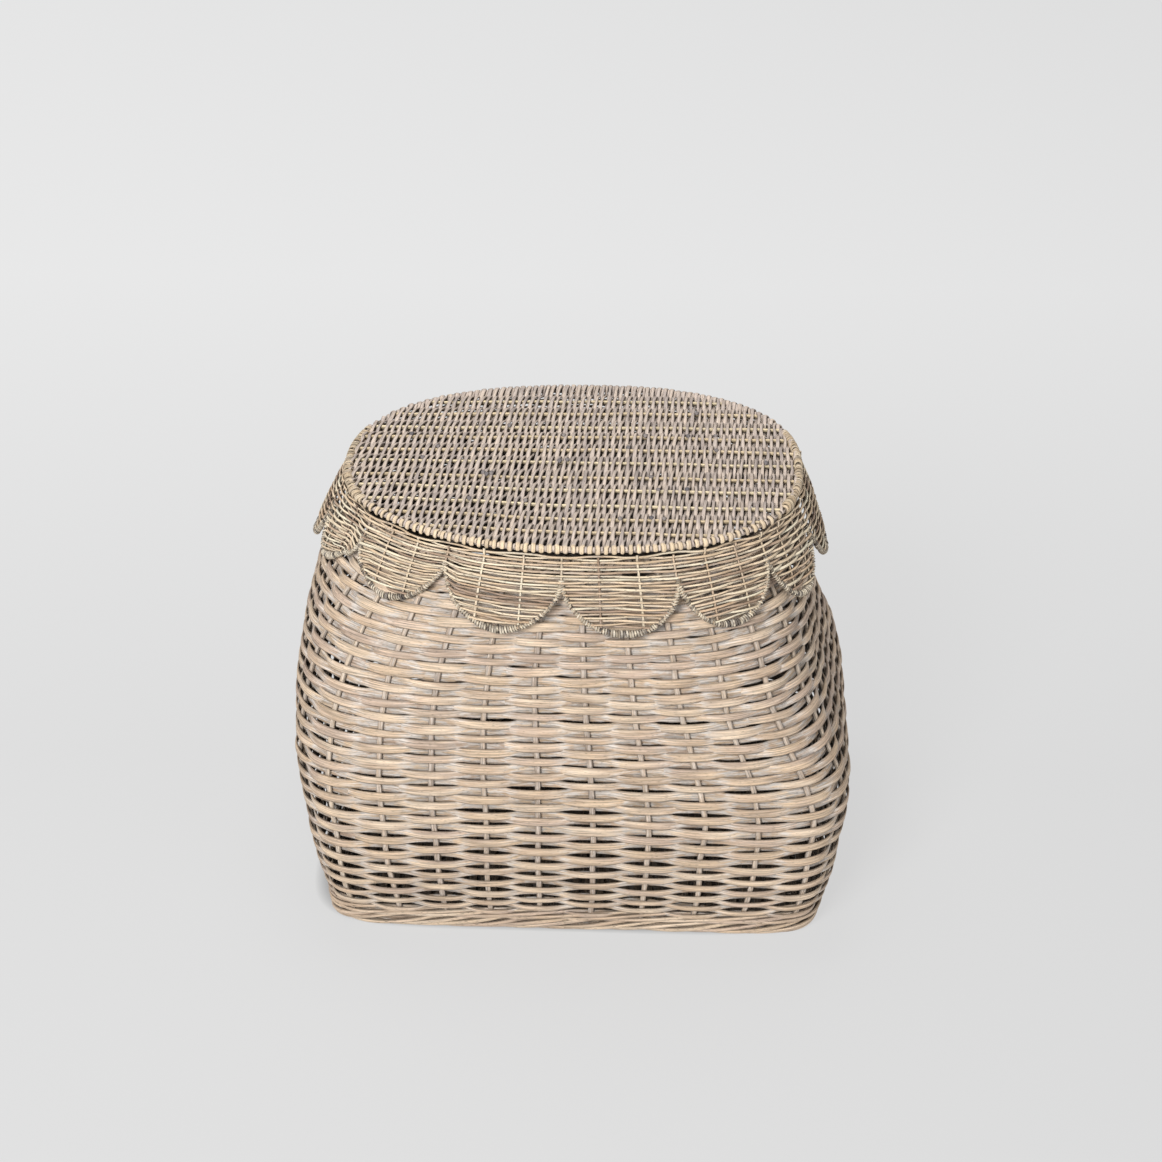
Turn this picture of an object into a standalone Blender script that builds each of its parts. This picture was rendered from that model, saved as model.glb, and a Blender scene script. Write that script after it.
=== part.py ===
"""Woven willow laundry basket with a lift-off lid and a scalloped lid skirt.

Metres, +Z up, +X along the width, front towards -Y.
The origin is on the floor, in the middle of the base.
"""
import math

import bmesh
import bpy
from mathutils import Vector

# ---------------------------------------------------------------- driving dimensions
OBJECT_NAME = "laundry_basket"
DEPTH_TO_WIDTH = 0.78        # every horizontal section has this proportion
TOTAL_HEIGHT = 0.380
CLEARANCE = 0.0003           # between pieces that touch on the real basket

# Half width of the wall's outer face at each height: foot, belly and mouth.
WALL_STATIONS = ((0.0, 0.229), (0.03, 0.239), (0.09, 0.2525), (0.17, 0.2495),
                 (0.24, 0.238), (0.30, 0.220), (0.351, 0.1925))
FOOT_SQUARENESS = 7.0        # superellipse power of the base, a rounded rectangle
MOUTH_SQUARENESS = 2.45      # and of the mouth and lid, a full oval
SQUARENESS_FADE = 1.5        # above 1 the corners of the foot fade out quickly going up
WALL_THICKNESS = 0.005
WALL_COLUMNS = 64
WALL_ROWS = 8

FOOT_BORDER_HEIGHT = 0.018
FOOT_BORDER_PROUD = 0.0025   # how far the foot border stands out of the wall
FOOT_BORDER_WIDTH = 0.018
BASE_THICKNESS = 0.006
BASE_STICK_COUNT = 5
BASE_STICK_RADIUS = 0.0035

STAKE_COUNT = 34
STAKE_RADIUS = 0.0025
STAKE_CLEARANCE = 0.0008     # a little more, because the wall's inner face is faceted
STAKE_END_MARGIN = 0.0015    # the sloping ends stay clear of the foot border and the hoop

RIM_RADIUS = 0.0055          # hoop round the mouth, and hoop round the lid
LID_HALF_WIDTH = 0.206
LID_PANEL_THICKNESS = 0.009
LID_ROD_COUNT = 11
LID_ROD_RADIUS = 0.0018
LID_ROD_END_MARGIN = 0.006   # from a rod's end to the edge of the lid panel

SCALLOP_COUNT = 14
COLUMNS_PER_SCALLOP = 6
SKIRT_THICKNESS = 0.004
SKIRT_FLARE = 0.0295         # outward, from the lid's edge to the lowest point
VALLEY_DROP = 0.0285         # from the skirt's top down to the notch between scallops
SCALLOP_DROP = 0.072         # and down to the bottom of each scallop
SCALLOP_FULLNESS = 0.75      # below 1 the scallops are rounder than a sine wave
SCALLOP_ROD_RADIUS = 0.0022
SKIRT_ROWS = 3

# ---------------------------------------------------------------- derived heights
WALL_BOTTOM = FOOT_BORDER_HEIGHT + CLEARANCE
WALL_TOP = WALL_STATIONS[-1][0]
MOUTH_HOOP_HEIGHT = WALL_TOP + CLEARANCE + RIM_RADIUS
LID_UNDERSIDE = MOUTH_HOOP_HEIGHT + RIM_RADIUS + CLEARANCE
LID_PANEL_TOP = LID_UNDERSIDE + LID_PANEL_THICKNESS
LID_HOOP_HEIGHT = TOTAL_HEIGHT - RIM_RADIUS
SKIRT_TOP = LID_HOOP_HEIGHT - RIM_RADIUS - CLEARANCE
SKIRT_TOP_HALF_WIDTH = LID_HALF_WIDTH - 0.0015

# ---------------------------------------------------------------- colours
BODY_WILLOW = (0.60, 0.47, 0.34)
STAKE_WILLOW = (0.62, 0.52, 0.42)
LID_WILLOW = (0.42, 0.35, 0.29)
LID_ROD_WILLOW = (0.66, 0.51, 0.32)
LASHING_WILLOW = (0.55, 0.43, 0.29)
SKIRT_WILLOW = (0.52, 0.41, 0.28)


# ---------------------------------------------------------------- plan outlines
def superellipse_point(half_width, half_depth, power, turn):
    """Point at a turn (0 to 1) round the outline, from the front centre towards +X."""
    side = math.sin(2 * math.pi * turn)
    front = math.cos(2 * math.pi * turn)
    x = math.copysign(abs(side) ** (2 / power), side) * half_width
    y = -math.copysign(abs(front) ** (2 / power), front) * half_depth
    return Vector((x, y, 0.0))


def outline(half_width, half_depth, power, fractions):
    """Points at the given fractions of the outline's length, from the front centre."""
    fine_steps = 960
    dense = [superellipse_point(half_width, half_depth, power, i / fine_steps)
             for i in range(fine_steps + 1)]
    lengths = [0.0]
    for before, after in zip(dense, dense[1:]):
        lengths.append(lengths[-1] + (after - before).length)
    points = []
    step = 0
    for fraction in fractions:
        target = fraction * lengths[-1]
        while lengths[step + 1] < target:
            step += 1
        along = (target - lengths[step]) / (lengths[step + 1] - lengths[step])
        points.append(dense[step].lerp(dense[step + 1], along))
    return points


def even_fractions(count, offset=0.0):
    return [(i + offset) / count for i in range(count)]


def oval(half_width, inset, power, height, fractions):
    """Closed ring at a height; the inset is the same on the sides and at the front."""
    ring = outline(half_width - inset, half_width * DEPTH_TO_WIDTH - inset, power, fractions)
    return [Vector((p.x, p.y, height)) for p in ring]


def wall_half_width(height):
    """Smooth curve through the wall stations (cubic, with slopes from the neighbours)."""
    stations = WALL_STATIONS
    last = len(stations) - 1
    k = max(i for i in range(last) if stations[i][0] <= height)

    def slope(i):
        low = stations[max(i - 1, 0)]
        high = stations[min(i + 1, last)]
        return (high[1] - low[1]) / (high[0] - low[0])

    span = stations[k + 1][0] - stations[k][0]
    t = (height - stations[k][0]) / span
    return (stations[k][1] * (2 * t ** 3 - 3 * t ** 2 + 1)
            + slope(k) * span * (t ** 3 - 2 * t ** 2 + t)
            + stations[k + 1][1] * (3 * t ** 2 - 2 * t ** 3)
            + slope(k + 1) * span * (t ** 3 - t ** 2))


def wall_squareness(height):
    below_top = 1 - min(height, WALL_TOP) / WALL_TOP
    return MOUTH_SQUARENESS + (FOOT_SQUARENESS - MOUTH_SQUARENESS) * below_top ** SQUARENESS_FADE


def wall_ring(height, inset, fractions):
    return oval(wall_half_width(height), inset, wall_squareness(height), height, fractions)


def wall_levels():
    steps = WALL_ROWS
    return [WALL_BOTTOM + (WALL_TOP - WALL_BOTTOM) * i / steps for i in range(steps + 1)]


# ---------------------------------------------------------------- building blocks
def make_material(name, colour, roughness=0.75):
    material = bpy.data.materials.new(name)
    material.use_nodes = True
    shader = material.node_tree.nodes["Principled BSDF"]
    shader.inputs["Base Color"].default_value = (*colour, 1.0)
    shader.inputs["Roughness"].default_value = roughness
    shader.inputs["Metallic"].default_value = 0.0
    return material


def add_object(name, data, material, collection, parent=None, location=(0, 0, 0)):
    piece = bpy.data.objects.new(name, data)
    data.materials.append(material)
    collection.objects.link(piece)
    piece.location = location
    if parent is not None:
        piece.parent = parent
        piece.location = Vector(location) - parent.location
    return piece


def ring_mesh(name, rings, base_height):
    """Closed ring solid, lofted through the loops of its cross-section in order."""
    build = bmesh.new()
    loops = [[build.verts.new((p.x, p.y, p.z - base_height)) for p in ring] for ring in rings]
    for here, there in zip(loops, loops[1:] + loops[:1]):
        for i in range(len(here)):
            j = (i + 1) % len(here)
            build.faces.new((here[i], here[j], there[j], there[i]))
    bmesh.ops.recalc_face_normals(build, faces=build.faces)
    mesh = bpy.data.meshes.new(name)
    build.to_mesh(mesh)
    build.free()
    mesh.shade_smooth()
    mesh.set_sharp_from_angle(angle=math.radians(40))
    return mesh


def rod_curve(name, points, radius, closed=False):
    """Round rod through the points, capped at its ends unless it is a closed hoop."""
    curve = bpy.data.curves.new(name, "CURVE")
    curve.dimensions = "3D"
    curve.bevel_depth = radius
    curve.bevel_resolution = 2
    curve.use_fill_caps = True
    spline = curve.splines.new("POLY")
    spline.points.add(len(points) - 1)
    for target, point in zip(spline.points, points):
        target.co = (*point, 1.0)
    spline.use_cyclic_u = closed
    return curve


def plate_curve(name, points, thickness):
    """Flat plate with the given outline, centred on its own origin."""
    curve = bpy.data.curves.new(name, "CURVE")
    curve.dimensions = "2D"
    curve.fill_mode = "BOTH"
    curve.extrude = thickness / 2
    spline = curve.splines.new("POLY")
    spline.points.add(len(points) - 1)
    for target, point in zip(spline.points, points):
        target.co = (point.x, point.y, 0.0, 1.0)
    spline.use_cyclic_u = True
    return curve


# ---------------------------------------------------------------- basket
def base_half_width():
    return wall_half_width(0.0) + FOOT_BORDER_PROUD - FOOT_BORDER_WIDTH


def add_foot_border(collection, material):
    """Waled band that the basket stands on, round the edge of the base."""
    fractions = even_fractions(WALL_COLUMNS)
    foot = wall_half_width(0.0)
    outer = -FOOT_BORDER_PROUD
    inner = FOOT_BORDER_WIDTH - FOOT_BORDER_PROUD
    corners = ((outer, 0.0), (outer, FOOT_BORDER_HEIGHT), (inner, FOOT_BORDER_HEIGHT), (inner, 0.0))
    rings = [oval(foot, inset, FOOT_SQUARENESS, height, fractions) for inset, height in corners]
    add_object("foot_border", ring_mesh("foot_border", rings, 0.0), material, collection)


def add_base_panel(collection, material):
    inset = FOOT_BORDER_WIDTH - FOOT_BORDER_PROUD + 2 * CLEARANCE
    edge = oval(wall_half_width(0.0), inset, FOOT_SQUARENESS, 0.0, even_fractions(WALL_COLUMNS))
    panel = plate_curve("base_panel", edge, BASE_THICKNESS)
    add_object("base_panel", panel, material, collection, location=(0, 0, BASE_THICKNESS / 2))


def add_base_sticks(collection, material):
    """Stiff sticks along the width that the base is woven over."""
    half_depth = wall_half_width(0.0) * DEPTH_TO_WIDTH
    spacing = 2 * half_depth / (BASE_STICK_COUNT + 1)
    half_length = base_half_width() * 0.9
    height = BASE_THICKNESS + CLEARANCE + BASE_STICK_RADIUS
    for i in range(BASE_STICK_COUNT):
        name = f"base_stick_{i + 1}"
        stick = rod_curve(name, ((-half_length, 0, 0), (half_length, 0, 0)), BASE_STICK_RADIUS)
        y = (i + 1) * spacing - half_depth
        add_object(name, stick, material, collection, location=(0, y, height))


def add_side_weave(collection, material):
    """Bulging wall, open at the top, as one ring solid."""
    fractions = even_fractions(WALL_COLUMNS)
    levels = wall_levels()
    outer = [wall_ring(height, 0.0, fractions) for height in levels]
    inner = [wall_ring(height, WALL_THICKNESS, fractions) for height in reversed(levels)]
    mesh = ring_mesh("side_weave", outer + inner, WALL_BOTTOM)
    add_object("side_weave", mesh, material, collection, location=(0, 0, WALL_BOTTOM))


def add_wall_stakes(collection, material):
    """Upright rods inside the weave, from the base to the mouth."""
    fractions = even_fractions(STAKE_COUNT, 0.5)
    inset = WALL_THICKNESS + STAKE_CLEARANCE + STAKE_RADIUS
    levels = wall_levels()
    levels[0] += STAKE_END_MARGIN
    levels[-1] -= STAKE_END_MARGIN
    rings = [wall_ring(height, inset, fractions) for height in levels]
    for i in range(STAKE_COUNT):
        name = f"wall_stake_{i + 1:02d}"
        foot = rings[0][i]
        points = [ring[i] - foot for ring in rings]
        stake = rod_curve(name, points, STAKE_RADIUS)
        add_object(name, stake, material, collection, location=foot)


def add_mouth_hoop(collection, material):
    centre = wall_half_width(WALL_TOP) - WALL_THICKNESS / 2
    ring = oval(centre, 0.0, MOUTH_SQUARENESS, 0.0, even_fractions(WALL_COLUMNS))
    hoop = rod_curve("mouth_hoop", ring, RIM_RADIUS, closed=True)
    add_object("mouth_hoop", hoop, material, collection, location=(0, 0, MOUTH_HOOP_HEIGHT))


# ---------------------------------------------------------------- lid
def lid_panel_size():
    """Half width and half depth of the woven panel inside the lid's hoop."""
    inset = 2 * RIM_RADIUS + 2 * CLEARANCE
    return LID_HALF_WIDTH - inset, LID_HALF_WIDTH * DEPTH_TO_WIDTH - inset


def add_lid_panel(collection, material, parent):
    half_width, half_depth = lid_panel_size()
    edge = outline(half_width, half_depth, MOUTH_SQUARENESS, even_fractions(WALL_COLUMNS))
    panel = plate_curve("lid_panel", edge, LID_PANEL_THICKNESS)
    height = LID_UNDERSIDE + LID_PANEL_THICKNESS / 2
    add_object("lid_panel", panel, material, collection, parent, (0, 0, height))


def add_lid_rods(collection, material, parent):
    """Straight rods along the width of the lid, which its weavers cross."""
    half_width, half_depth = lid_panel_size()
    spacing = 2 * half_depth / (LID_ROD_COUNT + 1)
    height = LID_PANEL_TOP + CLEARANCE + LID_ROD_RADIUS
    for i in range(LID_ROD_COUNT):
        name = f"lid_rod_{i + 1:02d}"
        y = (i + 1) * spacing - half_depth
        room = (1 - abs(y / half_depth) ** MOUTH_SQUARENESS) ** (1 / MOUTH_SQUARENESS)
        reach = half_width * room - LID_ROD_END_MARGIN
        rod = rod_curve(name, ((-reach, 0, 0), (reach, 0, 0)), LID_ROD_RADIUS)
        add_object(name, rod, material, collection, parent, (0, y, height))


def add_lid_hoop(collection, material, parent):
    fractions = even_fractions(WALL_COLUMNS)
    ring = oval(LID_HALF_WIDTH, RIM_RADIUS, MOUTH_SQUARENESS, 0.0, fractions)
    hoop = rod_curve("lid_hoop", ring, RIM_RADIUS, closed=True)
    add_object("lid_hoop", hoop, material, collection, parent, (0, 0, LID_HOOP_HEIGHT))


def scallop_drop(fraction):
    """Depth of the skirt's lower edge below its top, at a fraction round the outline."""
    phase = (fraction * SCALLOP_COUNT) % 1.0
    lobe = abs(math.sin(math.pi * phase)) ** SCALLOP_FULLNESS
    return VALLEY_DROP + (SCALLOP_DROP - VALLEY_DROP) * lobe


def skirt_point(edge_point, drop, inset):
    """Point on the flared skirt below a point of the lid's edge outline."""
    s = drop / SCALLOP_DROP
    flare = SKIRT_FLARE * s * (1.35 - 0.35 * s)
    scale = (SKIRT_TOP_HALF_WIDTH + flare - inset) / SKIRT_TOP_HALF_WIDTH
    return Vector((edge_point.x * scale, edge_point.y * scale, SKIRT_TOP - drop))


def skirt_outline():
    """Fractions round the lid, and the lid-edge point at each of them."""
    fractions = even_fractions(SCALLOP_COUNT * COLUMNS_PER_SCALLOP)
    edge = oval(SKIRT_TOP_HALF_WIDTH, 0.0, MOUTH_SQUARENESS, 0.0, fractions)
    return fractions, edge


def add_skirt_weave(collection, material, parent):
    """Flared band under the lid's edge, with a scalloped lower edge."""
    fractions, edge = skirt_outline()
    rod_room = 2 * SCALLOP_ROD_RADIUS

    def skirt_ring(row, inset):
        share = row / SKIRT_ROWS
        drops = [(scallop_drop(f) - rod_room) * share for f in fractions]
        return [skirt_point(p, drop, inset) for p, drop in zip(edge, drops)]

    outer = [skirt_ring(row, 0.0) for row in range(SKIRT_ROWS + 1)]
    inner = [skirt_ring(row, SKIRT_THICKNESS) for row in range(SKIRT_ROWS, -1, -1)]
    mesh = ring_mesh("skirt_weave", outer + inner, SKIRT_TOP)
    add_object("skirt_weave", mesh, material, collection, parent, (0, 0, SKIRT_TOP))


def add_scallop_edge(collection, material, parent):
    """Thin rod that follows the scallops all round, below the woven skirt."""
    fractions, edge = skirt_outline()
    start = Vector((0, 0, SKIRT_TOP))
    path = [skirt_point(p, scallop_drop(f), SKIRT_THICKNESS / 2) - start
            for p, f in zip(edge, fractions)]
    rod = rod_curve("scallop_edge", path, SCALLOP_ROD_RADIUS, closed=True)
    add_object("scallop_edge", rod, material, collection, parent, start)


# ---------------------------------------------------------------- assembly
def clear_scene():
    for old in list(bpy.data.objects):
        bpy.data.objects.remove(old, do_unlink=True)


def build_basket(collection):
    willow = make_material("body_willow", BODY_WILLOW)
    stake_willow = make_material("stake_willow", STAKE_WILLOW)
    add_foot_border(collection, willow)
    add_base_panel(collection, willow)
    add_base_sticks(collection, stake_willow)
    add_side_weave(collection, willow)
    add_wall_stakes(collection, stake_willow)
    add_mouth_hoop(collection, willow)


def build_lid(collection):
    """Everything that lifts off with the lid hangs on one empty on the lift axis."""
    lift_axis = bpy.data.objects.new("lid_lift_axis", None)
    collection.objects.link(lift_axis)
    lift_axis.location = (0, 0, LID_UNDERSIDE)
    lashing = make_material("lashing_willow", LASHING_WILLOW)
    add_lid_panel(collection, make_material("lid_willow", LID_WILLOW), lift_axis)
    add_lid_rods(collection, make_material("lid_rod_willow", LID_ROD_WILLOW), lift_axis)
    add_lid_hoop(collection, lashing, lift_axis)
    add_skirt_weave(collection, make_material("skirt_willow", SKIRT_WILLOW), lift_axis)
    add_scallop_edge(collection, lashing, lift_axis)


def main():
    clear_scene()
    collection = bpy.data.collections.new(OBJECT_NAME)
    bpy.context.scene.collection.children.link(collection)
    build_basket(collection)
    build_lid(collection)


main()
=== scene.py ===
"""Looks of the woven willow laundry basket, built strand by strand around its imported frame.

Metres, +Z up, front towards -Y. A fraction runs from 0 to 1 round the basket, by length,
from the front centre towards +X. Every rod and weaver is a flattened tube along a path.
"""

import math

import bpy
import numpy as np
from mathutils import Matrix, Vector


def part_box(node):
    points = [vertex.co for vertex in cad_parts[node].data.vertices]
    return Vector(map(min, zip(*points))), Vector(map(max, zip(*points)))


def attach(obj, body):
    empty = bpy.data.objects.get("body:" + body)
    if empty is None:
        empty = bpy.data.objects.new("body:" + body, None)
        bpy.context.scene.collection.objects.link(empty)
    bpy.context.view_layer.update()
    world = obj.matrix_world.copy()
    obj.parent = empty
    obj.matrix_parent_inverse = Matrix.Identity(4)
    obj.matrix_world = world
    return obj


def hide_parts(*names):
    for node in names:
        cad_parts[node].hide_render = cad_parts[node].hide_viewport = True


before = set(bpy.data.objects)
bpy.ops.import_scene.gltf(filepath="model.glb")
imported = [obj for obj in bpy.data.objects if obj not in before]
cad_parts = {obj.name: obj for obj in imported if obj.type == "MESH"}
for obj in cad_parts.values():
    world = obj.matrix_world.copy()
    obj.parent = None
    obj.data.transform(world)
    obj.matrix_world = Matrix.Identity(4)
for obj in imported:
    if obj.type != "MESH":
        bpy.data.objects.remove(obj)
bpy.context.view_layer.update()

# -------- sizes from the frame
DEPTH_TO_WIDTH = 0.78        # of every horizontal section, as in the CAD
FOOT_SQUARENESS = 12.0       # superellipse power of the base, a rounded rectangle
MOUTH_SQUARENESS = 2.45      # and of the mouth and lid, a full oval
SQUARENESS_FADE = 1.5        # above 1 the corners of the foot fade out quickly going up

FOOT_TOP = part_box("foot_border")[1].z
FOOT_HALF_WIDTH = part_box("foot_border")[1].x
WALL_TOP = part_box("side_weave")[1].z
MOUTH_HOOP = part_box("mouth_hoop")
LID_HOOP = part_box("lid_hoop")
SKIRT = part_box("skirt_weave")
LID_RODS = [f"lid_rod_{i + 1:02d}" for i in range(11)]
BASE_STICKS = [f"base_stick_{i + 1}" for i in range(5)]
RIM_RADIUS = (LID_HOOP[1].z - LID_HOOP[0].z) / 2
LID_HALF_WIDTH = LID_HOOP[1].x
LID_RING = LID_HALF_WIDTH - RIM_RADIUS  # middle of the hoop, half width
LID_RING_DEPTH = LID_HALF_WIDTH * DEPTH_TO_WIDTH - RIM_RADIUS
LID_WEAVE_HEIGHT = LID_HOOP[1].z - 0.004
SKIRT_TOP = SKIRT[1].z
SKIRT_HALF_WIDTH = LID_HALF_WIDTH - 0.0015

# -------- willow sizes
STAKE_COUNT = 34
STAKE_RADIUS = 0.0026
STAKE_FLATNESS = 0.72        # thickness of a stake for its width
WEAVE_INSET = 0.0038         # from the wall's outer face in to the middle of the weave
WEAVER_THICKNESS = 0.0021
WALL_BANDS = 12              # groups of rows that share one object
ROW_PITCHES = ((0.0, 0.0058), (0.045, 0.0067), (0.1, 0.0077), (0.2, 0.0075),
               (0.26, 0.007), (0.36, 0.0068))  # (height, height of a row)
ROW_FULLNESS = ((0.0, 0.89), (0.05, 0.92), (0.09, 0.98), (0.13, 1.02),
                (0.36, 1.1))  # (height, share of a row filled)
RECESS_FULLNESS = ((0.0, 0.05), (0.09, 0.1), (0.17, 0.5),
                   (0.36, 0.6))  # and more where it passes behind
WEAVER_LENGTHS = (10, 12, 12)  # of a row's weavers, in stakes
WEAVER_OVERLAP = 0.4         # at each of their ends, in stakes
WALL_LEAN = ((0.0, 0.0), (0.03, 0.001), (0.11, 0.003), (0.19, 0.0), (0.26, -0.004),
             (0.36, -0.002))  # (height, shift towards +X)
LEFT_TUCK = ((0.0, 0.015), (0.02, 0.018), (0.06, 0.018), (0.1, 0.016), (0.16, 0.004),
             (0.22, 0.0))  # the left side's own shift
RIGHT_TUCK = ((0.0, -0.002), (0.05, -0.004), (0.09, -0.007), (0.13, 0.0), (0.16, -0.003),
              (0.19, -0.01), (0.23, -0.015), (0.27, -0.01), (0.33, -0.002))

SCALLOP_COUNT = 14
STAKES_PER_SCALLOP = 3
SKIRT_STAKE_COUNT = SCALLOP_COUNT * STAKES_PER_SCALLOP
SKIRT_STAKE_RADIUS = 0.0011
SKIRT_STRAND_RADIUS = 0.001
SKIRT_ROW_PITCH = 0.00285
SKIRT_INSET = 0.002
SKIRT_FLARE = 0.0295
SKIRT_FLARE_DROP = 0.072     # depth at which the skirt stands out by its whole flare
VALLEY_DROP = 0.017
SCALLOP_DROP = 0.0625
SCALLOP_FULLNESS = 0.54
SCALLOP_ROD_RADIUS = 0.0014
BINDING_RADIUS = 0.00075
BINDING_PITCH = 0.0023
VALLEY_SHIFTS = {0: -0.0023, 1: 0.0069, 2: 0.0057, 3: -0.006, 4: -0.005, 11: -0.006,
                 12: -0.017, 13: -0.015}  # notch: shift as a fraction
SKIRT_LENGTHS = ((0.0, 0.99), (0.04, 0.98), (0.078, 1.08), (0.11, 1.0), (0.15, 1.0),
                 (0.25, 1.06), (0.5, 1.0), (0.7, 1.0), (0.76, 0.98), (0.8, 0.85),
                 (0.8264, 0.68), (0.8401, 0.9), (0.855, 0.82), (0.8786, 0.83),
                 (0.9, 0.8), (0.9136, 0.72), (0.925, 0.9), (0.9568, 0.97),
                 (1.0, 0.99))  # (fraction, share of length)

BASE_HEIGHT = 0.0062         # of the middle of the woven base
BASE_WEAVER_COUNT = 78
BASE_WEAVER_RADIUS = 0.0031
BASE_WEAVER_SWING = 0.0034   # up and down from the middle
BASE_STICK_HALF_WIDTH = 0.0034
BASE_STICK_HALF_THICKNESS = 0.0024

LID_WEAVER_COUNT = 142
LID_WEAVER_THICKNESS = 0.0018
LID_WEAVER_STEP = 0.0023     # between the points of its path
LID_RIM_CLIMB = 0.008        # length over which it rises from the weave to the hoop
LID_FAN = 0.08               # how much wider the weavers stand at the front than in the middle
LID_SHEAR = 0.12             # their lean to the right going back, as a share of the depth
LID_ROD_RADIUS = 0.0017
CUT_END_COUNT = 30
LID_CREAM_LENGTH = 0.0024    # of the paler ends of a weaver, before they bend down
BEND_RADIUS = 0.0033         # of the weavers' ends where they turn down over the hoop
BEND_SINK = 0.0011           # how much deeper every second end lies
BEND_HEIGHT = LID_HOOP[1].z - BEND_RADIUS - LID_WEAVER_THICKNESS / 2
LID_KNOTS = (0.186, 0.191, 0.196, 0.804, 0.811, 0.818)    # fractions of wider lashings
MOUTH_LASHINGS = 150
LASHING_THICKNESS = 0.0014
UP = np.array([0.0, 0.0, 1.0])
DOWN = np.array([0.0, 0.0, -1.0])


# -------- small maths
def smooth(value):
    """0 below 0, 1 above 1, and a smooth step between."""
    t = np.clip(value, 0, 1)
    return t * t * (3 - 2 * t)


def lookup(table, value):
    """Straight-line reading of a table of (position, value) pairs."""
    return np.interp(value, [row[0] for row in table], [row[1] for row in table])


def unit(vectors):
    length = np.linalg.norm(vectors, axis=-1, keepdims=True)
    return vectors / np.maximum(length, 1e-12)


def split(count, parts):
    """Ranges of nearly the same length that together cover the count."""
    return [range(count * k // parts, count * (k + 1) // parts) for k in range(parts)]


def lengths_along(points):
    """Length of a path from its start to each of its points."""
    return np.concatenate([[0.0], np.cumsum(np.linalg.norm(np.diff(points, axis=0), axis=1))])


def xyz(x, y, z):
    """Points from coordinates, each an array or one number for all of them."""
    return np.column_stack(np.broadcast_arrays(x, y, z))


def closed_noise(rng, knots, fractions, size):
    """Smooth random values that repeat after one turn, with one knot at every 1/knots."""
    values = rng.uniform(-size, size, knots)
    position = fractions % 1.0 * knots
    before = np.floor(position).astype(int) % knots
    share = smooth(position - np.floor(position))
    return values[before] * (1 - share) + values[(before + 1) % knots] * share


def open_noise(rng, knots, shares, size):
    """The same along an open strand, whose two ends differ."""
    return closed_noise(rng, knots, shares * 0.9, size)


# -------- outlines
def middle_ys(nodes):
    """Y of the middle of each of the CAD nodes."""
    return np.array([(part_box(node)[0].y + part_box(node)[1].y) / 2 for node in nodes])


def superellipse(half_width, half_depth, power, turns):
    angle = math.tau * turns
    side = np.sin(angle)
    front = np.cos(angle)
    reach = (abs(side) ** power + abs(front) ** power) ** (1 / power)
    return np.stack([half_width * side / reach, -half_depth * front / reach], axis=-1)


def turns_at(fractions, half_width, half_depth, power, steps=1920):
    """Turns of a superellipse at fractions of its length; they may run past 0 to 1."""
    turns = np.linspace(0, 1, steps + 1)
    length = lengths_along(superellipse(half_width, half_depth, power, turns))
    whole = np.floor(fractions)
    return whole + np.interp(fractions - whole, length / length[-1], turns)


def surface_normals(points, across, upward, across_step, upward_step):
    """Unit normals of a surface, from its points a step to each side and up and down."""
    around = points(across + across_step, upward) - points(across - across_step, upward)
    rise = points(across, upward + upward_step) - points(across, upward - upward_step)
    return unit(np.cross(around, rise))


def wall_profile():
    """Heights, half widths and slopes of the CAD wall's outer face, from foot to mouth."""
    vertices = np.array([v.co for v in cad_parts["side_weave"].data.vertices])
    heights = np.unique(np.round(vertices[:, 2], 4))
    widths = np.array([vertices[abs(vertices[:, 2] - h) < 0.0003, 0].max() for h in heights])
    return heights, widths, np.gradient(widths, heights)


PROFILE = wall_profile()


def wall_half_width(height):
    """Smooth curve through the profile, straight on below the foot and above the mouth."""
    heights, widths, slopes = PROFILE
    h = np.asarray(height, float)
    k = np.clip(np.searchsorted(heights, h) - 1, 0, len(heights) - 2)
    span = heights[k + 1] - heights[k]
    t = (h - heights[k]) / span
    inside = np.clip(t, 0, 1)
    curve = (widths[k] * (2 * inside ** 3 - 3 * inside ** 2 + 1)
             + slopes[k] * span * (inside ** 3 - 2 * inside ** 2 + inside)
             + widths[k + 1] * (3 * inside ** 2 - 2 * inside ** 3)
             + slopes[k + 1] * span * (inside ** 3 - inside ** 2))
    past_end = np.where(t < 0, slopes[k], slopes[k + 1]) * (t - inside) * span
    return curve + past_end


def wall_squareness(height):
    below_top = 1 - np.clip(height, 0.0, WALL_TOP) / WALL_TOP
    return MOUTH_SQUARENESS + (FOOT_SQUARENESS - MOUTH_SQUARENESS) * below_top ** SQUARENESS_FADE


def wall_shift(rightness, heights):
    """Sideways shift of the wall, from its left side at -1 to its right side at 1."""
    return (lookup(WALL_LEAN, heights) + lookup(LEFT_TUCK, heights) * smooth(-rightness)
            + lookup(RIGHT_TUCK, heights) * smooth(rightness))


def wall_points(turns, heights, inset=WEAVE_INSET):
    """Points on the wall, the inset deep behind its outer face."""
    half_width = wall_half_width(heights)
    x, y = superellipse(half_width - inset, half_width * DEPTH_TO_WIDTH - inset,
                        wall_squareness(heights), turns).T
    return xyz(x + wall_shift(x / half_width, heights), y, heights)


def wall_turns(fractions, height):
    half_width = wall_half_width(height) - WEAVE_INSET
    return turns_at(fractions, half_width, half_width * DEPTH_TO_WIDTH, wall_squareness(height))


def wall_outward(turns, heights):
    """Unit normals of the wall, pointing out of the basket."""
    return surface_normals(wall_points, turns, heights, 0.0008, 0.002)


# -------- strands
def add_object(name, data):
    """New object in the scene that shows the data."""
    made = bpy.data.objects.new(name, data)
    bpy.context.scene.collection.objects.link(made)
    return made


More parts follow.
